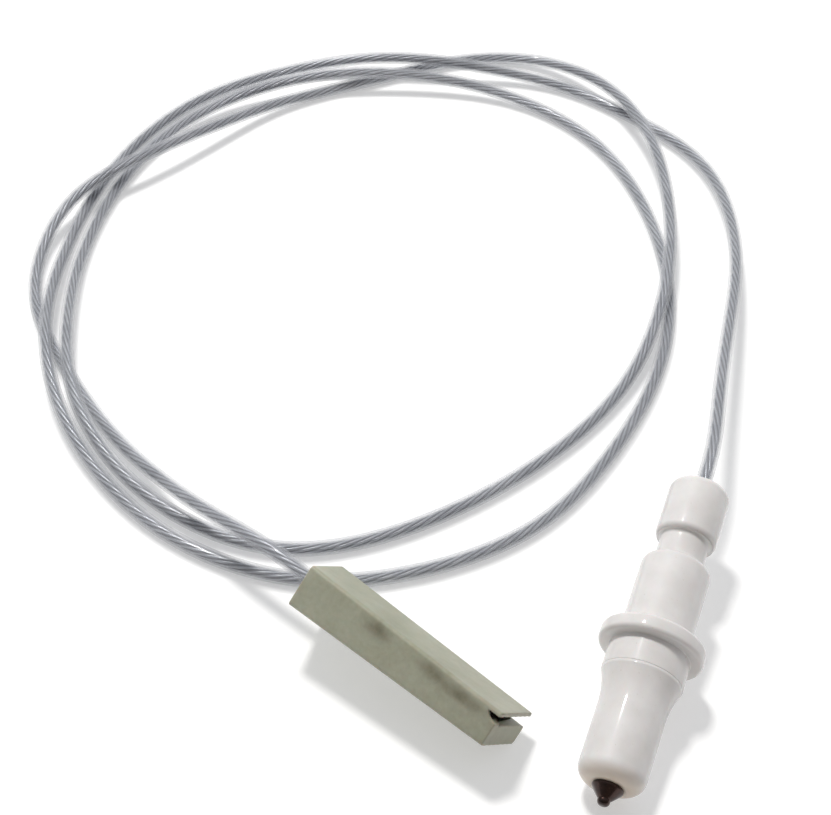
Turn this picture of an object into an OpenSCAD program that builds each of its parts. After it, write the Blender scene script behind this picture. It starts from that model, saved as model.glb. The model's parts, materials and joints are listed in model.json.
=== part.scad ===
// Gas hob ignition electrode: a glazed ceramic insulator around a metal electrode, with its spark lead
// and a push-on receptacle in a translucent sleeve. Millimetres. The assembly lies on a table, z = 0,
// with the tip towards -Y, and the lead leaves the cap towards +Y.

/* [Insulator] */
// Radius of the cap that the lead leaves
cap_r = 4.05; // [3.9:0.05:4.3]
// Length of the cap
cap_len = 8.6; // [7.6:0.1:9]
// Radius at the bottom of the clip groove
groove_r = 3.2; // [3:0.1:3.4]
// Length of the clip groove
groove_len = 3.7; // [3.4:0.1:4.2]
// Radius of the shank between the groove and the flange
shank_r = 4.55; // [4.3:0.05:4.8]
// Length of the shank
shank_len = 11.3; // [10.5:0.1:12]
// Radius of the flange that seats on the burner
flange_r = 6.8; // [6.4:0.1:7.4]
// Thickness of the flange
flange_t = 2.2; // [1.8:0.1:2.6]
// Radius of the nose where it leaves the flange
root_r = 5.25; // [5:0.05:5.5]
// Radius of the straight part of the nose
nose_r = 4.3; // [4.1:0.05:4.5]
// Length of the nose below the flange
nose_len = 18.5; // [18:0.1:20]

/* [Electrode] */
// Radius of the electrode rod
rod_r = 1.25; // [1:0.05:1.4]
// Radius of the electrode's conical head
head_r = 2; // [1.8:0.05:2.1]
// Length of the head beyond the nose
head_len = 2.5; // [2.2:0.1:2.8]

/* [Lead] */
// Outer diameter of the lead
lead_d = 2.2; // [2:0.1:2.2]
// Diameter of the stranded conductor
core_d = 1.5; // [1.2:0.1:1.5]
// Cross-sections along the lead
lead_rings = 80; // [60:1:80]

/* [Connector] */
// Length of the connector sleeve
sleeve_len = 31.5; // [30:0.5:34]
// Width of the sleeve, across the receptacle
sleeve_w = 9.2; // [9:0.1:9.6]
// Height of the sleeve at its mouth
sleeve_h = 4.8; // [4.6:0.1:5]
// Height of the sleeve at its open rear
sleeve_rear_h = 6; // [5.6:0.1:6.4]
// Wall of the sleeve
sleeve_wall = 0.6; // [0.5:0.05:0.7]
// Width of the tab that the receptacle takes
tab_w = 6.3; // [6:0.1:6.3]
// Thickness of that tab
tab_t = 0.8; // [0.8:0.05:0.9]
// Thickness of the receptacle's sheet metal
sheet_t = 0.4; // [0.3:0.05:0.4]

/* [Hidden] */
$fn = 64;
eps = 0.01;

// The insulator's own axis runs from the tip to the cap, with 0 at the middle of the flange.
flange_top = flange_t / 2;
shank_top = flange_top + shank_len;
cap_bottom = shank_top + groove_len;
cap_top = cap_bottom + cap_len;
nose_end = -flange_t / 2 - nose_len;
flange_edge = 0.6;
cap_bottom_edge = 0.8;
cap_top_edge = 1.3;
shoulder_edge = 1.1;
nose_edge = 2;
groove_fillet = 0.6;
flange_fillet = 0.5;
collar_len = 3.7;
collar_step = 0.05;
taper_len = 8.5;
straight_top = -flange_t / 2 - taper_len;

// Bores along the insulator.
lead_bore_r = 1.7;
lead_bore_end = -3;
mouth_r = 2.2;
mouth_len = 0.5;
rod_hole_r = rod_r + 0.05;
cement_len = 9;

// Pieces inside the insulator.
tail_r = 0.8;
tail_top = 3.4;
ferrule_r = 1.5;
ferrule_hole_r = 0.82;
ferrule_top = 12.5;
crimp_groove_r = 0.6;
crimp_depth = 0.25;
sight_hole_r = 0.3;
jacket_start = 16.7;
seal_bottom = 17.7;
seal_r = lead_d / 2 + 0.02;

// The insulator lies on the rims of its flange and its nose: the angle that lets both touch the table.
rest_run = flange_t / 2 + nose_len - nose_edge - (flange_t / 2 - flange_edge);
rest_drop = (flange_r - flange_edge) - (nose_r - nose_edge);
tip_down = atan(rest_drop / rest_run)
    - asin((nose_edge - flange_edge) / norm([rest_run, rest_drop]));
seat_y = -1.49;
seat_z = (flange_t / 2 - flange_edge) * sin(tip_down) + (flange_r - flange_edge) * cos(tip_down)
    + flange_edge;

// The connector: its axis heads right and towards the tip's side, slightly nose down and rolled.
heading = -20.6;
pitch = 5.1;
roll = -47.5;
mouth = [-13.7, -18.5, 5.1];
plug_dir = [cos(pitch) * cos(heading), cos(pitch) * sin(heading), -sin(pitch)];
sleeve_top = 2.8;
lip_z = sleeve_top - sleeve_wall;
mouth_skew = 0.45;
end_wall = 1.2;
corner_cut_r = 2.1;
corner_cut_z = 3.3;
gap_len = 2;
gap_z = 0.65;

// The receptacle, by distance back from the sleeve's mouth.
box_front = 2;
box_len = 8;
neck_len = 2.6;
wire_crimp_at = box_front + box_len + neck_len;
wire_crimp_len = 3.6;
grip_at = 18;
grip_len = 3.4;
curl_r = 1.1;
box_w = 7.3;
neck_w = 2.6;
wire_crimp_r = 1.25;
grip_r = lead_d / 2 + 0.45;
floor_z = lip_z - 0.05;
jacket_end = 17;
core_end = 12.4;
web_top = lead_d / 2 + 0.02 + sheet_t;

// The lead: first straight out of the cap, then down to the table and three times round, last into the
// sleeve. Where turns cross, the upper one climbs over the lower.
function axis_point(s) = [0, seat_y + s * cos(tip_down), seat_z + s * sin(tip_down)];
function plug_point(back) = mouth - back * plug_dir;
first_turn = [
    [-2, 42, 10.5], [-4, 59, 8], [-6, 76, 4.5], [-11, 92, 2.5], [-19, 104, 1.5], [-33, 110.5, 1.2],
    [-46, 115, 1.2], [-57, 114, 2], [-67, 111, 4], [-80, 108, 4], [-94, 102.5, 1.2], [-106, 90, 1.2],
    [-111, 73, 1.2], [-111, 57, 1.2], [-108.5, 44, 1.2], [-104, 31, 4], [-98, 19, 4], [-87.5, 7.5, 2],
    [-70, -3, 1.2], [-50, -5, 1.2], [-34, 2, 1.2], [-20, 15, 1.2], [-14.5, 31, 1.2], [-11.5, 50, 1.2],
    [-14, 69, 1.2]];
second_turn = [
    [-24, 89, 1.2], [-37, 103, 1.2], [-53, 109, 1.2], [-69, 107, 3.5], [-86, 101, 4], [-100, 91, 2],
    [-107.5, 76.5, 1.5], [-108.5, 60, 1.2], [-105.5, 43, 1.2], [-100, 30, 3.5], [-93.5, 17, 4],
    [-81, 5.5, 2], [-65, -0.5, 1.5], [-49, 0, 1.2], [-34, 12, 1.2], [-21.5, 30, 1.2], [-14.5, 49, 1.5],
    [-15, 69, 4.5]];
third_turn = [
    [-20, 88, 4], [-27, 103, 4.5], [-38, 115, 4], [-52, 121.5, 1.2], [-66, 117, 1.2], [-79, 104, 1.2],
    [-91, 94, 1.2], [-97, 83, 3], [-104, 69, 5], [-112.5, 57, 4], [-113, 45, 1.5], [-108, 32, 1.2],
    [-97, 22, 1.2], [-83, 11, 1.2], [-70, 4, 3.5], [-61, -1, 7]];
cap_points = [axis_point(jacket_start), axis_point(cap_top), axis_point(cap_top + 8)];
plug_points = [plug_point(sleeve_len + 9), plug_point(sleeve_len)];
loose_points = concat(first_turn, second_turn, third_turn);
lead_route = concat(cap_points, loose_points, plug_points, [plug_point(jacket_end)]);

// A smooth curve along the route: one cubic B-spline, with steps along each span.
function padded(route) = let(last = len(route) - 1)
    concat([2 * route[0] - route[1]], route, [2 * route[last] - route[last - 1]]);
function blend(a, b, c, d, u) =
    (pow(1 - u, 3) * a + (3 * u * u * u - 6 * u * u + 4) * b
    + (-3 * u * u * u + 3 * u * u + 3 * u + 1) * c + u * u * u * d) / 6;
function curve_at(pad, t) = let(i = min(floor(t), len(pad) - 4), u = t - i)
    blend(pad[i], pad[i + 1], pad[i + 2], pad[i + 3], u);

// Points at even distances along the curve.
function even_points(route, count) =
    let(pad = padded(route), spans = len(route) - 1, steps = 8,
        fine = [for (i = [0 : spans * steps]) curve_at(pad, i / steps)],
        table = [for (i = 0, s = 0; i < len(fine); s = s + (i + 1 < len(fine)
            ? norm(fine[i + 1] - fine[i]) : 0), i = i + 1) [s, i / steps]],
        total = table[len(table) - 1][0])
    [for (k = [0 : count - 1]) curve_at(pad, lookup(total * k / (count - 1), table))];
function direction(points, k) =
    let(a = points[max(k - 1, 0)], b = points[min(k + 1, len(points) - 1)]) (b - a) / norm(b - a);
function ring(centre, along, r, sides) =
    let(side = cross(along, [0, 0, 1]) / norm(cross(along, [0, 0, 1])), up = cross(side, along))
    [for (j = [0 : sides - 1]) centre + r * (cos(360 * (j + 0.5) / sides) * side
        + sin(360 * (j + 0.5) / sides) * up)];
function rings(points, r, sides) =
    [for (k = [0 : len(points) - 1]) each ring(points[k], direction(points, k), r, sides)];
function band(a, b, sides, flip) = [for (j = [0 : sides - 1]) let(n = (j + 1) % sides)
    each flip ? [[a + j, b + j, b + n], [a + j, b + n, a + n]]
        : [[a + j, b + n, b + j], [a + j, a + n, b + n]]];

// The jacket's rings, and the conductor's, which runs on bare at both ends.
jacket_points = even_points(lead_route, lead_rings);
core_points = concat([axis_point(tail_top)], jacket_points, [plug_point(core_end)]);

// A solid round cord through the points.
module cord(points, r, sides = 8) {
    last = (len(points) - 1) * sides;
    walls = [for (k = [0 : len(points) - 2]) each band(k * sides, (k + 1) * sides, sides, false)];
    ends = [[for (j = [0 : sides - 1]) sides - 1 - j], [for (j = [0 : sides - 1]) last + j]];
    polyhedron(rings(points, r, sides), concat(walls, ends), convexity = 10);
}

// A hollow round cord through the points.
module hollow_cord(points, r, hole_r, sides = 8) {
    inner = len(points) * sides;
    last = inner - sides;
    walls = [for (k = [0 : len(points) - 2]) each concat(
        band(k * sides, (k + 1) * sides, sides, false),
        band(inner + k * sides, inner + (k + 1) * sides, sides, true))];
    ends = concat(band(0, inner, sides, true), band(last, inner + last, sides, false));
    polyhedron(concat(rings(points, r, sides), rings(points, hole_r, sides)), concat(walls, ends),
        convexity = 10);
}

// Half outline of a bar from z0 to z1 with its outer edges rounded.
module bar_outline(r, z0, z1, edge0, edge1) {
    square_at(0, z0, r - max(edge0, edge1), z1);
    square_at(0, z0 + edge0, r, z1 - edge1);
    square_at(0, z0, r - edge0, z1 - edge1);
    square_at(0, z0 + edge0, r - edge1, z1);
    if (edge0 > 0) translate([r - edge0, z0 + edge0]) circle(edge0);
    if (edge1 > 0) translate([r - edge1, z1 - edge1]) circle(edge1);
}
module square_at(x0, y0, x1, y1) {
    translate([x0, y0]) square([x1 - x0, y1 - y0]);
}

// Concave fillet in the corner at (r, z); up is 1 above a face and -1 below one.
module fillet_outline(r, z, size, up) {
    translate([r, z]) mirror([0, up < 0 ? 1 : 0]) difference() {
        translate([-eps, -eps]) square(size + eps);
        translate([size, size]) circle(size);
    }
}

// Puts a piece made on the insulator's own axis where it lies.
module lying() {
    translate([0, seat_y, seat_z]) rotate([tip_down - 90, 0, 0]) children();
}

// Puts a piece made on the connector's own axes where it lies: +X out of the mouth, +Z its broad side.
module plugged() {
    translate(mouth) rotate([roll, pitch, heading]) children();
}

module nose_outline() {
    run = taper_len - collar_len;
    swell = root_r - collar_step - nose_r;
    taper_r = (run * run + swell * swell) / (2 * swell);
    bar_outline(nose_r, nose_end, straight_top + eps, nose_edge, 0);
    square_at(0, -flange_t / 2 - collar_len, root_r, 0);
    difference() {
        square_at(0, straight_top, nose_r + swell, -flange_t / 2 - collar_len + eps);
        translate([nose_r + taper_r, straight_top]) circle(taper_r, $fn = 256);
    }
}

module insulator_outline() {
    bar_outline(cap_r, cap_bottom, cap_top, cap_bottom_edge, cap_top_edge);
    square_at(0, shank_top - shoulder_edge, groove_r, cap_bottom + eps);
    fillet_outline(groove_r, shank_top, groove_fillet, 1);
    fillet_outline(groove_r, cap_bottom, groove_fillet, -1);
    bar_outline(shank_r, 0, shank_top, 0, shoulder_edge);
    fillet_outline(shank_r, flange_top, flange_fillet, 1);
    bar_outline(flange_r, -flange_top, flange_top, flange_edge, flange_edge);
    nose_outline();
}

module ceramic_insulator() {
    color("ivory") lying() difference() {
        rotate_extrude() insulator_outline();
        translate([0, 0, lead_bore_end]) cylinder(h = cap_top - lead_bore_end + 1, r = lead_bore_r);
        translate([0, 0, cap_top - mouth_len])
            cylinder(h = mouth_len + eps, r1 = lead_bore_r, r2 = mouth_r);
        translate([0, 0, nose_end - 1]) cylinder(h = lead_bore_end - nose_end + 2, r = rod_hole_r);
        translate([0, 0, nose_end - 1]) cylinder(h = cement_len + 1, r = lead_bore_r);
    }
}

// Rod with a thinner tail in the ferrule and a conical head that ends in a small rounded stub.
module centre_electrode() {
    stub_r = 0.8;
    rim = 0.3;
    stub_top = head_len - stub_r - 0.15;
    color("saddlebrown") lying() {
        translate([0, 0, nose_end - eps]) cylinder(h = lead_bore_end - nose_end + eps, r = rod_r);
        translate([0, 0, lead_bore_end - eps]) cylinder(h = tail_top - lead_bore_end + eps, r = tail_r);
        translate([0, 0, nose_end - rim]) cylinder(h = rim, r = head_r);
        translate([0, 0, nose_end - stub_top])
            cylinder(h = stub_top - rim + eps, r1 = stub_r + 0.15, r2 = head_r);
        translate([0, 0, nose_end - head_len + stub_r])
            cylinder(h = head_len - stub_r - rim, r = stub_r);
        translate([0, 0, nose_end - head_len + stub_r]) sphere(stub_r);
    }
}

module cement_ring(hole_r, r, z0, z1) {
    translate([0, 0, z0]) difference() {
        cylinder(h = z1 - z0, r = r);
        translate([0, 0, -1]) cylinder(h = z1 - z0 + 2, r = hole_r);
    }
}

module nose_cement() {
    color("tan") lying() cement_ring(rod_r, lead_bore_r, nose_end, nose_end + cement_len);
}

module lead_seal() {
    color("whitesmoke") lying() cement_ring(seal_r, lead_bore_r, seal_bottom, cap_top - mouth_len);
}

// Splice sleeve, crimped once on the electrode's tail and twice on the conductor.
module crimp_ferrule() {
    color("silver") lying() difference() {
        translate([0, 0, lead_bore_end]) cylinder(h = ferrule_top - lead_bore_end, r = ferrule_r);
        translate([0, 0, lead_bore_end - 1])
            cylinder(h = ferrule_top - lead_bore_end + 2, r = ferrule_hole_r);
        for (z = [0, 7, 10]) translate([0, 0, z]) rotate_extrude()
            translate([ferrule_r + crimp_groove_r - crimp_depth, 0]) circle(crimp_groove_r);
        translate([0, -ferrule_r - 1, tail_top]) rotate([-90, 0, 0])
            cylinder(h = ferrule_r + 1, r = sight_hole_r);
    }
}

module lead_jacket() {
    color("lightsteelblue") hollow_cord(jacket_points, lead_d / 2, core_d / 2 + 0.05);
}

module lead_conductor() {
    color("gainsboro") cord(core_points, core_d / 2);
}

// Cross-section of the receptacle: a flat floor and two rolled sides that press on the tab.
module curl_outline() {
    difference() {
        union() {
            square_at(-box_w / 2 + curl_r, -sheet_t, box_w / 2 - curl_r, 0);
            for (side = [-1, 1]) translate([side * (box_w / 2 - curl_r), -curl_r]) difference() {
                circle(curl_r);
                circle(curl_r - sheet_t);
            }
        }
        square_at(-tab_w / 2 - 0.05, -sheet_t - tab_t, tab_w / 2 + 0.05, -sheet_t);
    }
}

// An open crimp: a tube with a seam along its underside.
module crimp_barrel(r, hole_r, back, length) {
    translate([-back - length, 0, 0]) difference() {
        rotate([0, 90, 0]) cylinder(h = length, r = r);
        translate([-1, 0, 0]) rotate([0, 90, 0]) cylinder(h = length + 2, r = hole_r);
        translate([-1, -0.1, -r - 1]) cube([length + 2, 0.2, r + 1]);
    }
}

module receptacle_terminal() {
    dimple_r = 0.8;
    neck_top = wire_crimp_r;
    color("dimgray") plugged() {
        difference() {
            translate([-box_front - box_len, 0, floor_z]) rotate([90, 0, 90])
                linear_extrude(box_len) curl_outline();
            translate([-box_front - box_len / 2, 0, 0]) cylinder(h = floor_z + 1, r = dimple_r);
        }
        translate([0, neck_w / 2, 0]) rotate([90, 0, 0]) linear_extrude(neck_w) polygon([
            [-box_front - box_len + 1, floor_z], [-box_front - box_len + 1, floor_z - sheet_t],
            [-box_front - box_len, floor_z - sheet_t], [-wire_crimp_at, neck_top - sheet_t],
            [-wire_crimp_at - 0.5, neck_top - sheet_t], [-wire_crimp_at - 0.5, neck_top],
            [-wire_crimp_at, neck_top], [-box_front - box_len, floor_z]]);
        crimp_barrel(wire_crimp_r, core_d / 2 + 0.07, wire_crimp_at, wire_crimp_len);
        translate([-grip_at - 0.5, -neck_w / 4, web_top - sheet_t])
            cube([grip_at + 1 - wire_crimp_at - wire_crimp_len, neck_w / 2, sheet_t]);
        crimp_barrel(grip_r, lead_d / 2 + 0.02, grip_at, grip_len);
    }
}

// A block as wide as given, as the sleeve is from the side but smaller by the inset: its underside rises
// towards the mouth.
module sleeve_block(width, inset, back, front) {
    rise = (sleeve_rear_h - sleeve_h) / sleeve_len;
    bottom = sleeve_top - sleeve_h + inset;
    translate([0, width / 2, 0]) rotate([90, 0, 0]) linear_extrude(width) polygon([
        [front, sleeve_top - inset], [-back, sleeve_top - inset],
        [-back, bottom - rise * back], [front, bottom + rise * front]]);
}

// Slip-on sleeve, open at the rear, that pulls off forwards. Its mouth is cut a little aslant, and its end
// wall has the tab's slot under the broad side. At the slot's near end the corner is rounded away, and
// at its far end the side is cut back, so that the broad side ends in a lip.
module connector_sleeve() {
    slot_w = tab_w + 0.5;
    slot_z = floor_z - sheet_t - tab_t - 0.05;
    color("darkseagreen") plugged() difference() {
        intersection() {
            sleeve_block(sleeve_w, 0, sleeve_len, 1);
            translate([0, 0, -sleeve_rear_h]) linear_extrude(2 * sleeve_rear_h) polygon([
                [mouth_skew, sleeve_w / 2], [-mouth_skew, -sleeve_w / 2],
                [-sleeve_len - 1, -sleeve_w / 2], [-sleeve_len - 1, sleeve_w / 2]]);
        }
        sleeve_block(sleeve_w - 2 * sleeve_wall, sleeve_wall, sleeve_len + 1, -end_wall);
        translate([-end_wall - 1, -slot_w / 2, slot_z]) cube([end_wall + 2, slot_w, lip_z - slot_z]);
        intersection() {
            translate([-mouth_skew, -sleeve_w / 2 + 0.2, corner_cut_z]) sphere(corner_cut_r);
            translate([-mouth_skew - corner_cut_r, -sleeve_w, 0])
                cube([2 * corner_cut_r + 1, sleeve_w, lip_z]);
        }
        translate([-gap_len, slot_w / 2 - eps, gap_z]) cube([gap_len + 1, sleeve_w, lip_z - gap_z]);
    }
}

ceramic_insulator();
centre_electrode();
nose_cement();
crimp_ferrule();
lead_seal();
lead_jacket();
lead_conductor();
receptacle_terminal();
connector_sleeve();
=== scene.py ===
"""Looks of the ignition electrode, its spark lead and its connector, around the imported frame. Metres."""

import json
import math

import bmesh
import bpy
import numpy as np
from mathutils import Matrix, Vector


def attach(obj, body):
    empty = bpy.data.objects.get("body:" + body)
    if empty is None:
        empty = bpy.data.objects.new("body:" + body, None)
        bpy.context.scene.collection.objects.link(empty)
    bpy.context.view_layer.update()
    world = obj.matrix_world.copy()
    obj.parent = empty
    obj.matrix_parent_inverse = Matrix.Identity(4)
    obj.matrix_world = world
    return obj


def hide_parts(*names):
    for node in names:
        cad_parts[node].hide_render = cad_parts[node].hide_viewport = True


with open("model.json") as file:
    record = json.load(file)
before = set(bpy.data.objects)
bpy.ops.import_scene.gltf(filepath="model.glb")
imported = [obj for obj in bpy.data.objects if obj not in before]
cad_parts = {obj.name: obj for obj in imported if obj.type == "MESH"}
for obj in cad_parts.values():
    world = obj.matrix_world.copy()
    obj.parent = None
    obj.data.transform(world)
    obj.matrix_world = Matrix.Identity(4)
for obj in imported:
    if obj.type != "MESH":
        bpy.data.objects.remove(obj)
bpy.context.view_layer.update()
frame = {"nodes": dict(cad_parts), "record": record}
MM = 0.001


# ---------------------------------------------------------------- camera

VIEW_TARGET = Vector((-0.0443, 0.033, 0))
VIEW_DISTANCE = 0.2513
VIEW_HEADING = math.radians(20.13)  # to the left of +Y
VIEW_ELEVATION = math.radians(47)
LENS_MM = 73.65


def make_camera():
    level = math.cos(VIEW_ELEVATION)
    look = Vector((-math.sin(VIEW_HEADING) * level, math.cos(VIEW_HEADING) * level,
                   -math.sin(VIEW_ELEVATION)))
    data = bpy.data.cameras.new("camera")
    data.lens = LENS_MM
    data.sensor_width = 36
    data.clip_start, data.clip_end = 0.01, 10
    camera = bpy.data.objects.new("camera", data)
    camera.location = VIEW_TARGET - VIEW_DISTANCE * look
    camera.rotation_euler = look.to_track_quat("-Z", "Y").to_euler()
    bpy.context.scene.collection.objects.link(camera)
    bpy.context.scene.camera = camera


make_camera()


# ---------------------------------------------------------------- places, as part.scad has them

mounts = {m["name"]: m for m in frame["record"]["mounts"]}
nose = mounts["nose_pin"]
NOSE_PIN_AT = -13.6 * MM  # of the pin mount's middle along the insulator's axis
axis_up = -np.array(nose["axis"], float)  # from the tip to the cap
axis_up /= np.linalg.norm(axis_up)
flange_centre = np.array(nose["pos_m"], float) - NOSE_PIN_AT * axis_up

HEADING, PITCH, ROLL = (math.radians(a) for a in (-20.6, 5.1, -47.5))
MOUTH = np.array((-0.0137, -0.0185, 0.0051))
plug_turn = Matrix.Rotation(HEADING, 3, "Z") @ Matrix.Rotation(PITCH, 3, "Y") @ Matrix.Rotation(ROLL, 3, "X")
plug_place = Matrix.Translation(MOUTH) @ plug_turn.to_4x4()
plug_dir = np.array(plug_turn.col[0])


def axis_point(s):
    """Point on the insulator's axis, s from the middle of the flange towards the cap."""
    return flange_centre + s * axis_up


def plug_point(back):
    """Point on the connector's axis, that far back from the sleeve's mouth."""
    return MOUTH - back * plug_dir


# ---------------------------------------------------------------- mesh helpers


def new_object(name, points, faces, smooth=True):
    mesh = bpy.data.meshes.new(name)
    mesh.from_pydata([tuple(p) for p in points], [], faces)
    mesh.validate()
    if smooth:
        mesh.shade_smooth()
    made = bpy.data.objects.new(name, mesh)
    bpy.context.scene.collection.objects.link(made)
    return made


def set_values(piece, name, values):
    """Gives each vertex of the piece a number that its material can read."""
    layer = piece.data.attributes.new(name, "FLOAT", "POINT")
    layer.data.foreach_set("value", np.asarray(values, np.float32))


def vertices(piece):
    return np.array([v.co for v in piece.data.vertices], float)


def unit(v):
    return v / np.linalg.norm(v, axis=-1, keepdims=True)


def even(points, step):
    """Points about step apart along a line of points."""
    along = np.concatenate([[0], np.cumsum(np.linalg.norm(np.diff(points, axis=0), axis=1))])
    at = np.linspace(0, along[-1], max(2, round(along[-1] / step) + 1))
    return np.stack([np.interp(at, along, points[:, k]) for k in range(3)], axis=1)


def frames(points):
    """Tangent, side and up at each point, turning as little as they can."""
    tangent = unit(np.gradient(points, axis=0))
    side = np.zeros_like(points)
    side[0] = unit(np.cross(tangent[0], (0, 0, 1)))
    for i in range(1, len(points)):
        side[i] = unit(side[i - 1] - tangent[i] * (side[i - 1] @ tangent[i]))
    return tangent, side, np.cross(side, tangent)


def band(a, b, sides):
    """Faces between ring a and ring b, given by their first vertices."""
    return [(a + j, a + (j + 1) % sides, b + (j + 1) % sides, b + j) for j in range(sides)]


def tube(points, radius, sides, first=0):
    """A closed round tube along the points: its vertices and faces."""
    _, side, up = frames(points)
    angle = 2 * math.pi * np.arange(sides) / sides
    rings = points[:, None] + radius * (
        np.cos(angle)[None, :, None] * side[:, None] + np.sin(angle)[None, :, None] * up[:, None]
    )
    faces = []
    for k in range(len(points) - 1):
        faces += band(first + k * sides, first + (k + 1) * sides, sides)
    last = first + (len(points) - 1) * sides
    faces.append([first + j for j in reversed(range(sides))])
    faces.append([last + j for j in range(sides)])
    return rings.reshape(-1, 3), faces


def hollow_tube(points, radius, hole_radius, sides):
    """A round tube with a hole right through it."""
    outer, _ = tube(points, radius, sides)
    inner, _ = tube(points, hole_radius, sides)
    count = len(outer)
    last = count - sides
    faces = []
    for k in range(len(points) - 1):
        faces += band(k * sides, (k + 1) * sides, sides)
        faces += band(count + (k + 1) * sides, count + k * sides, sides)
    faces += band(count, 0, sides)
    faces += band(last, count + last, sides)
    return np.vstack([outer, inner]), faces


def rounded(corners, steps=7):
    """The outline through (s, r, radius) corners, with an arc of that radius at each."""
    outline = []
    for i, (s, r, radius) in enumerate(corners):
        here = Vector((s, r))
        if radius <= 0:
            outline.append(tuple(here))
            continue
        before, after = Vector(corners[i - 1][:2]), Vector(corners[(i + 1) % len(corners)][:2])
        a, b = (before - here).normalized(), (after - here).normalized()
        half = a.angle(b) / 2
        middle = here + (a + b).normalized() * radius / math.sin(half)
        start, end = here + a * radius / math.tan(half) - middle, here + b * radius / math.tan(half) - middle
        first = math.atan2(start.y, start.x)
        sweep = (math.atan2(end.y, end.x) - first + math.pi) % (2 * math.pi) - math.pi
        for k in range(steps + 1):
            angle = first + sweep * k / steps
            outline.append((middle.x + radius * math.cos(angle), middle.y + radius * math.sin(angle)))
    return outline


def lathe(name, outline, sides, closed=False):
    """The (s, r) outline in millimetres turned about the insulator's axis."""
    side = unit(np.cross(axis_up, (0, 0, 1)))
    up = np.cross(side, axis_up)
    angle = 2 * math.pi * np.arange(sides) / sides
    spokes = np.cos(angle)[:, None] * side + np.sin(angle)[:, None] * up
    points, rings, faces = [], [], []
    for s, r in outline:
        rings.append(len(points))
        if r < 1e-6:
            points.append(axis_point(s * MM))
        else:
            points += list(axis_point(s * MM) + r * MM * spokes)
    pairs = list(zip(rings, rings[1:])) + ([(rings[-1], rings[0])] if closed else [])
    for a, b in pairs:
        single_a = a + 1 in rings or a == len(points) - 1
        single_b = b + 1 in rings or b == len(points) - 1
        if single_a:
            faces += [(a, b + (j + 1) % sides, b + j) for j in range(sides)]
        elif single_b:
            faces += [(a + j, a + (j + 1) % sides, b) for j in range(sides)]
        else:
            faces += band(a, b, sides)
    made = new_object(name, points, faces)
    face_outwards(made.data)
    return made


def face_outwards(mesh):
    """Turns the faces so that the closed mesh has a positive volume."""
    points = np.array([v.co for v in mesh.vertices], float)
    mesh.calc_loop_triangles()
    t = np.array([tri.vertices for tri in mesh.loop_triangles])
    a, b, c = points[t[:, 0]], points[t[:, 1]], points[t[:, 2]]
    if (a * np.cross(b, c)).sum() < 0:
        mesh.flip_normals()


# ---------------------------------------------------------------- material helpers


class Shader:
    """A Principled material with its nodes made in short steps."""

    def __init__(self, name, **sockets):
        self.material = bpy.data.materials.new(name)
        self.material.use_nodes = True
        self.nodes = self.material.node_tree.nodes
        self.links = self.material.node_tree.links
        self.main = self.nodes["Principled BSDF"]
        for socket, value in sockets.items():
            self.main.inputs[socket.replace("_", " ")].default_value = value

    def add(self, kind, values=(), links=(), **settings):
        node = self.nodes.new(kind)
        for key, value in settings.items():
            setattr(node, key, value)
        for key, value in dict(values).items():
            node.inputs[key].default_value = value
        for key, source in dict(links).items():
            self.links.new(source, node.inputs[key])
        return node

    def place(self):
        return self.add("ShaderNodeTexCoord").outputs["Object"]

    def noise(self, scale, detail=3, rough=0.5):
        node = self.add("ShaderNodeTexNoise", {"Scale": scale, "Detail": detail, "Roughness": rough})
        self.links.new(self.place(), node.inputs["Vector"])
        return node.outputs["Fac"]

    def ramp(self, source, stops):
        node = self.add("ShaderNodeValToRGB", links={"Fac": source})
        elements = node.color_ramp.elements
        while len(elements) < len(stops):
            elements.new(0.5)
        for element, (at, colour) in zip(elements, stops):
            element.position = at
            element.color = (*colour, 1)
        return node.outputs["Color"]

    def mix(self, factor, a, b, blend="MIX"):
        node = self.add("ShaderNodeMix", data_type="RGBA", blend_type=blend)
        for socket, value in zip((0, 6, 7), (factor, a, b)):
            if isinstance(value, bpy.types.NodeSocket):
                self.links.new(value, node.inputs[socket])
            else:
                node.inputs[socket].default_value = (*value, 1) if isinstance(value, tuple) else value
        return node.outputs[2]

    def colour(self, source):
        self.links.new(source, self.main.inputs["Base Color"])

    def roughness(self, source, low, high):
        node = self.add("ShaderNodeMapRange", {"To Min": low, "To Max": high}, {"Value": source})
        self.links.new(node.outputs[0], self.main.inputs["Roughness"])

    def bump(self, source, height, strength=1.0):
        node = self.add("ShaderNodeBump", {"Strength": strength, "Distance": height}, {"Height": source})
        self.links.new(node.outputs[0], self.main.inputs["Normal"])


def paint(piece, material):
    piece.data.materials.clear()
    piece.data.materials.append(material)


# ---------------------------------------------------------------- materials


def glaze_material():
    """White glaze over the body; the nose's end is left raw and a little stained."""
    shader = Shader("ceramic_glaze", IOR=1.5, Coat_Weight=0.6, Coat_Roughness=0.08, Specular_IOR_Level=0.25,
                    Subsurface_Weight=0.1, Subsurface_Scale=0.001)
    cloud = shader.noise(220, detail=4)
    body = shader.ramp(cloud, [(0.35, (0.68, 0.655, 0.64)), (0.65, (0.75, 0.73, 0.72))])
    speck = shader.ramp(shader.noise(2600, detail=2), [(0.70, (1, 1, 1)), (0.78, (0.86, 0.82, 0.78))])
    body = shader.mix(1.0, body, speck, blend="MULTIPLY")
    raw = shader.add("ShaderNodeAttribute", attribute_name="raw").outputs["Fac"]
    shader.colour(shader.mix(raw, body, (0.60, 0.51, 0.42)))
    shader.roughness(shader.noise(900, detail=2), 0.38, 0.52)
    shader.bump(shader.noise(420, detail=3), 0.00005, 0.5)
    return shader.material


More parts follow.
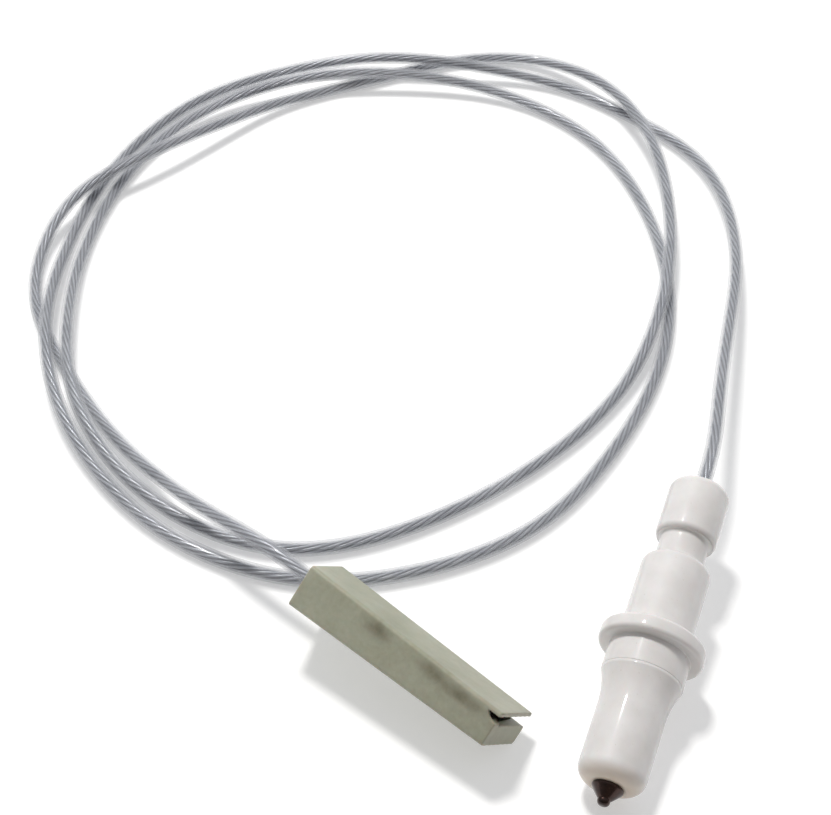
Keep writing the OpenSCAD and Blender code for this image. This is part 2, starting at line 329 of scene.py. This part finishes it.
def electrode_material():
    shader = Shader("burnt_steel", Metallic=0.9, Coat_Weight=0.4, Coat_Roughness=0.12)
    tint = shader.noise(1100, detail=5, rough=0.6)
    shader.colour(shader.ramp(tint, [(0.35, (0.020, 0.010, 0.008)), (0.6, (0.050, 0.024, 0.018)),
                                     (0.8, (0.10, 0.05, 0.035))]))
    shader.roughness(tint, 0.16, 0.34)
    shader.bump(shader.noise(3500, detail=4), 0.00003, 0.4)
    return shader.material


def strand_material():
    """Tinned wire, dull, with painted shade: darker on each wire away from its outward crest and darkest in
    the grooves between the strands.
    """
    shader = Shader("tinned_strand", Metallic=0.9)
    dull = shader.noise(500, detail=4)
    tin = shader.ramp(dull, [(0.3, (0.46, 0.48, 0.53)), (0.7, (0.72, 0.73, 0.77))])
    outward = shader.add("ShaderNodeAttribute", attribute_name="outward").outputs["Fac"]
    # painted shade: each wire is darkened away from its outward crest, most in the grooves between wires
    painted_valley_shade = shader.ramp(outward, [(0.15, (0.02, 0.022, 0.03)), (0.68, (0.13, 0.135, 0.16)),
                                   (0.93, (1, 1, 1))])
    shader.colour(shader.mix(1.0, tin, painted_valley_shade, blend="MULTIPLY"))
    shader.roughness(dull, 0.26, 0.36)
    shader.bump(shader.noise(6000, detail=2), 0.00001, 0.4)
    return shader.material


def jacket_material():
    shader = Shader("clear_jacket", IOR=1.42, Alpha=0.28, Coat_Weight=0.3, Coat_Roughness=0.08)
    cloud = shader.noise(160, detail=3)
    shader.colour(shader.ramp(cloud, [(0.3, (0.46, 0.475, 0.51)), (0.7, (0.60, 0.615, 0.65))]))
    shader.roughness(shader.noise(1200, detail=3), 0.14, 0.30)
    shader.bump(shader.noise(1500, detail=2), 0.00003, 0.4)
    return shader.material


def sleeve_material():
    """Natural nylon, mottled, with the metal inside showing darker where it lies against the wall."""
    shader = Shader("natural_nylon", IOR=1.5, Alpha=0.93, Subsurface_Weight=0.25, Subsurface_Scale=0.001)
    cloud = shader.noise(110, detail=5, rough=0.6)
    fine = shader.noise(1500, detail=3)
    body = shader.ramp(cloud, [(0.3, (0.34, 0.345, 0.25)), (0.7, (0.46, 0.465, 0.37))])
    body = shader.mix(0.12, body, shader.ramp(fine, [(0.3, (0.15, 0.15, 0.1)), (0.7, (0.5, 0.5, 0.4))]))
    inside = shader.add("ShaderNodeAttribute", attribute_name="metal_inside").outputs["Fac"]
    patch = shader.noise(300, detail=4, rough=0.65)
    blotch = shader.add("ShaderNodeMath", operation="MULTIPLY", links={0: inside, 1: patch})
    dark = shader.ramp(blotch.outputs[0], [(0.05, (1, 1, 1)), (0.6, (0.46, 0.42, 0.37))])
    shader.colour(shader.mix(1.0, body, dark, blend="MULTIPLY"))
    shader.roughness(fine, 0.36, 0.5)
    shader.bump(shader.noise(700, detail=4), 0.00007, 0.5)
    return shader.material


def terminal_material():
    shader = Shader("plated_steel", Metallic=0.95)
    stain = shader.noise(800, detail=5, rough=0.6)
    shader.colour(shader.ramp(stain, [(0.3, (0.06, 0.055, 0.05)), (0.7, (0.22, 0.21, 0.19))]))
    shader.roughness(stain, 0.3, 0.5)
    shader.bump(shader.noise(4000, detail=2), 0.00002, 0.4)
    return shader.material


def plain_material(name, dark, light, roughness, metallic=0.0):
    shader = Shader(name, Metallic=metallic)
    grain = shader.noise(900, detail=4)
    shader.colour(shader.ramp(grain, [(0.3, dark), (0.7, light)]))
    shader.roughness(grain, roughness - 0.08, roughness + 0.08)
    shader.bump(grain, 0.00004, 0.5)
    return shader.material


# ---------------------------------------------------------------- lead

LEAD_R, JACKET_HOLE_R = 1.1 * MM, 0.8 * MM
JACKET_FROM, CAP_TOP = 16.7 * MM, 24.7 * MM
CORE_FROM, CORE_TO, JACKET_TO, SLEEVE_LEN = 3.4 * MM, 12.4 * MM, 17 * MM, 31.5 * MM
FIRST_TURN = [
    (-0.002, 0.042, 0.0105), (-0.004, 0.059, 0.008), (-0.006, 0.076, 0.0045), (-0.011, 0.092, 0.0025),
    (-0.019, 0.104, 0.0015), (-0.033, 0.1105, 0.0012), (-0.046, 0.115, 0.0012), (-0.057, 0.114, 0.002),
    (-0.067, 0.111, 0.004), (-0.08, 0.108, 0.004), (-0.094, 0.1025, 0.0012), (-0.106, 0.09, 0.0012),
    (-0.111, 0.073, 0.0012), (-0.111, 0.057, 0.0012), (-0.1085, 0.044, 0.0012), (-0.104, 0.031, 0.004),
    (-0.098, 0.019, 0.004), (-0.0875, 0.0075, 0.002), (-0.07, -0.003, 0.0012), (-0.05, -0.005, 0.0012),
    (-0.034, 0.002, 0.0012), (-0.02, 0.015, 0.0012), (-0.0145, 0.031, 0.0012), (-0.0115, 0.05, 0.0012),
    (-0.014, 0.069, 0.0012),
]
SECOND_TURN = [
    (-0.024, 0.089, 0.0012), (-0.037, 0.103, 0.0012), (-0.053, 0.109, 0.0012), (-0.069, 0.107, 0.0035),
    (-0.086, 0.101, 0.004), (-0.1, 0.091, 0.002), (-0.1075, 0.0765, 0.0015), (-0.1085, 0.06, 0.0012),
    (-0.1055, 0.043, 0.0012), (-0.1, 0.03, 0.0035), (-0.0935, 0.017, 0.004), (-0.081, 0.0055, 0.002),
    (-0.065, -0.0005, 0.0015), (-0.049, 0, 0.0012), (-0.034, 0.012, 0.0012), (-0.0215, 0.03, 0.0012),
    (-0.0145, 0.049, 0.0015), (-0.015, 0.069, 0.0045),
]
THIRD_TURN = [
    (-0.02, 0.088, 0.004), (-0.027, 0.103, 0.0045), (-0.038, 0.115, 0.004), (-0.052, 0.1215, 0.0012),
    (-0.066, 0.117, 0.0012), (-0.079, 0.104, 0.0012), (-0.091, 0.094, 0.0012), (-0.097, 0.083, 0.003),
    (-0.104, 0.069, 0.005), (-0.1125, 0.057, 0.004), (-0.113, 0.045, 0.0015), (-0.108, 0.032, 0.0012),
    (-0.097, 0.022, 0.0012), (-0.083, 0.011, 0.0012), (-0.07, 0.004, 0.0035), (-0.061, -0.001, 0.007),
]
STRANDS, STRAND_R, STRAND_LAY = 6, 0.21 * MM, 15 * MM


def spline(route, steps=24):
    """Points on the cubic B-spline of the route, whose ends it meets."""
    pad = np.vstack([2 * route[0] - route[1], route, 2 * route[-1] - route[-2]])
    u = (np.arange(steps) / steps)[:, None]
    points = []
    for i in range(len(route) - 1):
        a, b, c, d = pad[i : i + 4]
        points.append(((1 - u) ** 3 * a + (3 * u**3 - 6 * u**2 + 4) * b
                       + (-3 * u**3 + 3 * u**2 + 3 * u + 1) * c + u**3 * d) / 6)
    return np.vstack([*points, route[-1:]])


lead_route = np.array([
    axis_point(JACKET_FROM), axis_point(CAP_TOP), axis_point(CAP_TOP + 8 * MM),
    *FIRST_TURN, *SECOND_TURN, *THIRD_TURN,
    plug_point(SLEEVE_LEN + 9 * MM), plug_point(SLEEVE_LEN), plug_point(JACKET_TO),
])
lead_line = spline(lead_route)


def make_jacket():
    ring_step, sides = 1.1 * MM, 24
    centres = even(lead_line, ring_step)
    points, faces = hollow_tube(centres, LEAD_R, JACKET_HOLE_R, sides)
    jacket = new_object("jacket", points, faces)
    face_outwards(jacket.data)
    paint(jacket, jacket_material())
    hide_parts("lead_jacket")
    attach(jacket, "electrode")
    return jacket, centres


def make_strands():
    """Six wires laid round a seventh."""
    ring_step, sides = 0.8 * MM, 8
    bare = np.vstack([axis_point(CORE_FROM), lead_line, plug_point(CORE_TO)])
    middle = even(bare, ring_step)
    _, side, up = frames(middle)
    along = ring_step * np.arange(len(middle))
    points, faces = tube(middle, STRAND_R, sides)
    points, faces = [points], list(faces)
    # how far each point faces out from its own wire's middle, 0 on the hidden middle wire; the strand
    # material paints shade from it
    outward = [np.zeros(len(points[0]))]
    for k in range(STRANDS):
        turn = (2 * math.pi * (along / STRAND_LAY + k / STRANDS))[:, None]
        spoke = np.cos(turn) * side + np.sin(turn) * up
        wire = middle + 2 * STRAND_R * spoke
        more_points, more_faces = tube(wire, STRAND_R, sides, first=sum(len(p) for p in points))
        points.append(more_points)
        faces += more_faces
        from_wire = (more_points.reshape(-1, sides, 3) - wire[:, None]) / STRAND_R
        outward.append((0.5 + 0.5 * (from_wire * spoke[:, None]).sum(axis=2)).ravel())
    strands = new_object("strands", np.vstack(points), faces)
    set_values(strands, "outward", np.concatenate(outward))
    face_outwards(strands.data)
    paint(strands, strand_material())
    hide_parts("lead_conductor")
    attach(strands, "electrode")
    return strands


jacket, jacket_path = make_jacket()
strands = make_strands()


# ---------------------------------------------------------------- insulator and electrode

CAP_R, GROOVE_R, SHANK_R, FLANGE_R, ROOT_R, NOSE_R = 4.05, 3.2, 4.55, 6.8, 5.25, 4.3
SHANK_TOP, CAP_BOTTOM, NOSE_END, FLANGE_HALF = 12.4, 16.1, -19.6, 1.1
COLLAR_END, TAPER_END, COLLAR_STEP = -4.8, -9.6, 0.025
BORE_R, BORE_END, ROD_R, CEMENT_TOP = 1.7, -3, 1.25, -10.6
ROD_GAP = 0.05  # round the rod in its bore
RAW_LEN = 1.6  # of the end of the nose over which the glaze gives out
TAIL_TOP, TAIL_R, HEAD_R, HEAD_RIM = 3.4, 0.8, 2.0, 0.35
CONE_LEN, CONE_R, PIN_FROM, PIN_R, PIN_END = 1.55, 0.95, 1.7, 0.8, 2.5


def taper():
    """The swell between the nose and the collar under the flange, an arc that meets the nose smoothly."""
    run, swell, steps = COLLAR_END - TAPER_END, ROOT_R - COLLAR_STEP - NOSE_R, 14
    radius = (run**2 + swell**2) / (2 * swell)
    at = [run * (steps - k) / steps for k in range(steps + 1)]
    return [(TAPER_END + x, NOSE_R + radius - math.sqrt(radius**2 - x**2)) for x in at]


def make_insulator():
    cap_top = CAP_TOP / MM
    corners = [
        (cap_top - 0.5, BORE_R, 0.1), (cap_top, BORE_R + 0.5, 0.15), (cap_top, CAP_R, 1.3),
        (CAP_BOTTOM, CAP_R, 0.8), (CAP_BOTTOM, GROOVE_R, 0.6), (SHANK_TOP, GROOVE_R, 0.6),
        (SHANK_TOP, SHANK_R, 1.1), (FLANGE_HALF, SHANK_R, 0.5), (FLANGE_HALF, FLANGE_R, 0.6),
        (-FLANGE_HALF, FLANGE_R, 0.6), (-FLANGE_HALF, ROOT_R, 0.15), (COLLAR_END, ROOT_R, 0.12),
        *[(s, r, 0) for s, r in taper()],
        (NOSE_END, NOSE_R, 2), (NOSE_END, BORE_R, 0.2), (CEMENT_TOP, BORE_R, 0),
        (CEMENT_TOP, ROD_R + ROD_GAP, 0), (BORE_END, ROD_R + ROD_GAP, 0), (BORE_END, BORE_R, 0),
    ]
    insulator = lathe("insulator", rounded(corners), 160, closed=True)
    along = (vertices(insulator) - flange_centre) @ axis_up / MM
    set_values(insulator, "raw", np.clip((NOSE_END + RAW_LEN - along) / RAW_LEN, 0, 1))
    paint(insulator, glaze_material())
    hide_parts("ceramic_insulator")
    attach(insulator, "electrode")


def make_electrode():
    tip = NOSE_END - PIN_END
    corners = [
        (TAIL_TOP, 0, 0), (TAIL_TOP, TAIL_R, 0.15), (BORE_END, TAIL_R, 0.1), (BORE_END, ROD_R, 0.2),
        (NOSE_END, ROD_R, 0.05), (NOSE_END, HEAD_R, 0.12), (NOSE_END - HEAD_RIM, HEAD_R, 0.15),
        (NOSE_END - CONE_LEN, CONE_R, 0.25), (NOSE_END - PIN_FROM, PIN_R, 0.1),
        (tip, PIN_R, 0.6), (tip, 0, 0),
    ]
    electrode = lathe("electrode", rounded(corners), 96)
    paint(electrode, electrode_material())
    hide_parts("centre_electrode")
    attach(electrode, "electrode")


make_insulator()
make_electrode()


# ---------------------------------------------------------------- connector

SLEEVE_W, SLEEVE_TOP, MOUTH_H, REAR_H, SLEEVE_WALL, SLEEVE_EDGE = 9.2, 2.8, 4.8, 6, 0.6, 0.45
MOUTH_SKEW, END_WALL, SLOT_HALF_W, SLOT_FROM = 0.45, 1.2, 3.4, 0.9
CORNER_CUT_R, CORNER_CUT_Z, GAP_LEN, GAP_FROM = 2.1, 3.3, 2, 0.65
METAL_AT = ((6, 4.6), (10.5, 2.6), (19.5, 2.2))  # each patch's distance from the mouth and its half length
METAL_Z, METAL_HALF_H = 1.4, 1.0
FAINT_METAL, FAINT_REACH = 0.4, 24
SLEEVE_VOXEL = 0.13


def block(name, low, high, edge=0.0, rise=0.0, skew=0.0):
    """A box between two corners in millimetres, with its long edges rounded. Its underside rises along
    x by rise per millimetre, and its front end is turned so that it stands forward by skew at high y."""
    x0, y0, z0 = low
    x1, y1, z1 = high
    section = rounded([(y0, z0, edge), (y1, z0, edge), (y1, z1, edge), (y0, z1, edge)], 6)
    count = len(section)
    points = []
    for x in (x0, x1):
        for y, z in section:
            below_top = (z1 - z) / (z1 - z0)
            forward = skew * (2 * y - y0 - y1) / (y1 - y0) if x == x1 else 0
            points.append((x + forward, y, z + below_top * rise * (x - x1)))
    faces = band(0, count, count) + [list(reversed(range(count))), [count + j for j in range(count)]]
    made = new_object(name, points, faces)
    face_outwards(made.data)
    return made


def ball(name, centre, radius):
    data = bpy.data.meshes.new(name)
    form = bmesh.new()
    bmesh.ops.create_uvsphere(form, u_segments=32, v_segments=16, radius=radius,
                              matrix=Matrix.Translation(centre))
    form.to_mesh(data)
    form.free()
    made = bpy.data.objects.new(name, data)
    bpy.context.scene.collection.objects.link(made)
    return made


def carved(piece, cutters):
    """piece less the cutters, which are then removed."""
    for cutter in cutters:
        change = piece.modifiers.new("cut", "BOOLEAN")
        change.operation, change.solver, change.object = "DIFFERENCE", "EXACT", cutter
    apply_modifiers(piece)
    for cutter in cutters:
        bpy.data.objects.remove(cutter)


def apply_modifiers(piece):
    done = bpy.data.meshes.new_from_object(piece.evaluated_get(bpy.context.evaluated_depsgraph_get()))
    piece.modifiers.clear()
    piece.data = done


def metal_inside(points):
    """How strongly the receptacle shows through the sleeve at each point, in millimetres from the mouth:
    along its box, at the box's rear end and at its grip, and a little all over towards the mouth."""
    shown = FAINT_METAL * np.clip(1 + points[:, 0] / FAINT_REACH, 0, 1)
    across = ((points[:, 2] - METAL_Z) / METAL_HALF_H) ** 2
    for back, half_length in METAL_AT:
        along = ((points[:, 0] + back) / half_length) ** 2
        shown = np.maximum(shown, np.exp(-(along + across)))
    return shown


def make_sleeve():
    length = SLEEVE_LEN / MM
    half_w, mouth_bottom = SLEEVE_W / 2, SLEEVE_TOP - MOUTH_H
    in_w, lip_z = half_w - SLEEVE_WALL, SLEEVE_TOP - SLEEVE_WALL
    rise = (REAR_H - MOUTH_H) / length
    in_bottom = mouth_bottom + SLEEVE_WALL - rise * END_WALL
    sleeve = block("sleeve", (-length, -half_w, mouth_bottom), (0, half_w, SLEEVE_TOP), SLEEVE_EDGE, rise,
                   MOUTH_SKEW)
    cavity = block("cavity", (-length - 1, -in_w, in_bottom), (-END_WALL, in_w, lip_z), 0.15, rise)
    slot = block("slot", (-END_WALL - 1, -SLOT_HALF_W, SLOT_FROM), (1, SLOT_HALF_W, lip_z))
    gap = block("gap", (-GAP_LEN, SLOT_HALF_W - 0.01, GAP_FROM), (1, half_w + 1, lip_z))
    corner = ball("corner", (-MOUTH_SKEW, 0.2 - half_w, CORNER_CUT_Z), CORNER_CUT_R)
    above_lip = block("above_lip", (-4, -half_w - 3, lip_z), (3, 0, lip_z + 4))
    carved(corner, [above_lip])
    carved(sleeve, [cavity, slot, gap, corner])
    remesh = sleeve.modifiers.new("remesh", "REMESH")
    remesh.mode, remesh.voxel_size = "VOXEL", SLEEVE_VOXEL
    soften = sleeve.modifiers.new("soften", "SMOOTH")
    soften.factor, soften.iterations = 0.5, 4
    apply_modifiers(sleeve)
    set_values(sleeve, "metal_inside", metal_inside(vertices(sleeve)))
    sleeve.data.transform(plug_place @ Matrix.Scale(MM, 4))
    sleeve.data.shade_smooth()
    paint(sleeve, sleeve_material())
    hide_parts("connector_sleeve")
    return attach(sleeve, "sleeve")


sleeve = make_sleeve()


# ---------------------------------------------------------------- nodes that keep their CAD shape

terminal = frame["nodes"]["receptacle_terminal"]
paint(terminal, terminal_material())
paint(frame["nodes"]["nose_cement"], plain_material("cement", (0.42, 0.34, 0.24), (0.62, 0.53, 0.40), 0.8))
paint(frame["nodes"]["crimp_ferrule"],
      plain_material("ferrule", (0.35, 0.33, 0.3), (0.6, 0.58, 0.55), 0.35, metallic=1.0))
paint(frame["nodes"]["lead_seal"], plain_material("silicone", (0.6, 0.6, 0.57), (0.74, 0.74, 0.71), 0.5))


# ---------------------------------------------------------------- floor and light

FLOOR_HALF = 6
SKY = 0.5
DIM_SIDE = (0.45, -0.87, -0.2)  # the way to the dim side of the sky
BRIGHT_SKY, DIM_SKY = (0.95, 0.98, 1.02, 1), (0.44, 0.40, 0.36, 1)
LAMP_DISTANCE = 0.9
KEY_AIM, KEY_WAY = Vector((-0.045, 0.04, 0)), Vector((-0.27, 0.32, 0.91))
KEY_SIZE, KEY_POWER, KEY_COLOUR = 0.16, 6.4, (1, 0.985, 0.96)
GLINT_AIM, GLINT_WAY = Vector((0, -0.014, 0.009)), Vector((-0.41, 0.30, 0.86))
GLINT_SIZE, GLINT_POWER = 0.016, 3.6


def make_floor():
    half = FLOOR_HALF
    floor = new_object("floor", [(-half, -half, 0), (half, -half, 0), (half, half, 0), (-half, half, 0)],
                       [(0, 1, 2, 3)], smooth=False)
    paint(floor, Shader("lit_paper", Base_Color=(0.7, 0.7, 0.7, 1), Roughness=0.9,
                        Emission_Color=(1, 1, 1, 1), Emission_Strength=0.36).material)


def area_light(name, place, aim, size, energy, colour=(1, 1, 1)):
    data = bpy.data.lights.new(name, "AREA")
    data.shape, data.size, data.energy, data.color = "DISK", size, energy, colour
    light = bpy.data.objects.new(name, data)
    light.location = place
    light.rotation_euler = (aim - place).to_track_quat("-Z", "Y").to_euler()
    bpy.context.scene.collection.objects.link(light)
    return light


def make_sky():
    """Pale cool light from behind and the left, falling off to a warm dimness in front and to the right."""
    world = bpy.data.worlds.new("world")
    world.use_nodes = True
    nodes, links = world.node_tree.nodes, world.node_tree.links
    place = nodes.new("ShaderNodeTexCoord")
    toward = nodes.new("ShaderNodeVectorMath")
    toward.operation = "DOT_PRODUCT"
    toward.inputs[1].default_value = DIM_SIDE
    spread = nodes.new("ShaderNodeMapRange")
    spread.inputs["From Min"].default_value = -1
    ramp = nodes.new("ShaderNodeValToRGB")
    ramp.color_ramp.elements[0].color = BRIGHT_SKY
    ramp.color_ramp.elements[0].position = 0.4
    ramp.color_ramp.elements[1].color = DIM_SKY
    ramp.color_ramp.elements[1].position = 0.85
    links.new(place.outputs["Generated"], toward.inputs[0])
    links.new(toward.outputs["Value"], spread.inputs["Value"])
    links.new(spread.outputs[0], ramp.inputs["Fac"])
    links.new(ramp.outputs["Color"], nodes["Background"].inputs["Color"])
    nodes["Background"].inputs["Strength"].default_value = SKY
    bpy.context.scene.world = world


def make_light():
    """A soft key from the upper left that shows in no reflection, and a small lamp that shows as glints."""
    key = area_light("key", KEY_AIM + LAMP_DISTANCE * KEY_WAY, KEY_AIM, KEY_SIZE, KEY_POWER, KEY_COLOUR)
    key.visible_glossy = False
    glint = area_light("glint", GLINT_AIM + LAMP_DISTANCE * GLINT_WAY, GLINT_AIM, GLINT_SIZE, GLINT_POWER)
    glint.visible_diffuse = False
    bpy.context.scene.view_settings.view_transform = "Standard"


make_sky()
make_floor()
make_light()
